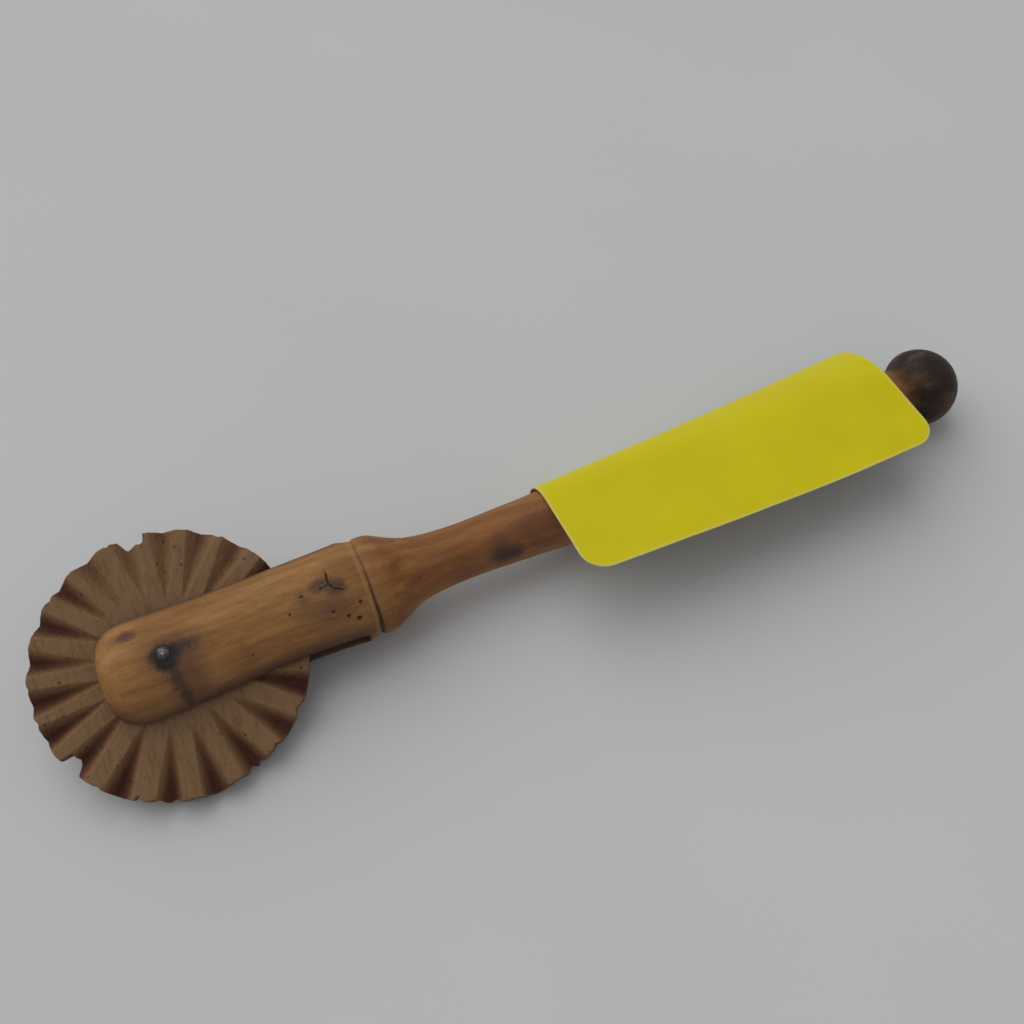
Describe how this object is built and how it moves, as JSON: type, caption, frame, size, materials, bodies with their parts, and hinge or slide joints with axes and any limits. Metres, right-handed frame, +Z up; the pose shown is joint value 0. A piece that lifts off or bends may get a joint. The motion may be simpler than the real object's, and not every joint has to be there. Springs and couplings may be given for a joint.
{
  "type": "pastry crimper",
  "caption": "Small wooden pastry crimper lying at rest: turned handle with a sawn fork and end ball, fluted wheel spinning on an iron nail, and a blank yellow shop label round the grip.",
  "frame": {"origin": "on the table under the middle of the tool's box, as it lies at rest", "axes": "+Z up from the table, +X along the handle from the wheel towards the ball, +Y towards the side where the wheel's rim stands clear of the table"},
  "size_m": [0.127, 0.0317, 0.0135],
  "materials": {
    "turned_wood": "worn, dry and lightly polished by handling, darker towards the ball",
    "wheel_wood": "dry, dusty and matte, dark in the flutes",
    "nail_iron": "dark oxidised iron with a rubbed bright spot",
    "label_paper": "smooth semi-gloss coated paper"
  },
  "bodies": {
    "handle": {"handle": "turned_wood", "axle_pin": "nail_iron", "price_label": "label_paper"},
    "wheel": {"crimping_wheel": "wheel_wood"}
  },
  "joints": [
    {"name": "wheel_spin", "type": "hinge", "parent": "handle", "child": "wheel", "pos_m": [-0.04723, 0, 0.00675], "axis": [0.0126, -0.3216, 0.9468], "continuous": true}
  ]
}
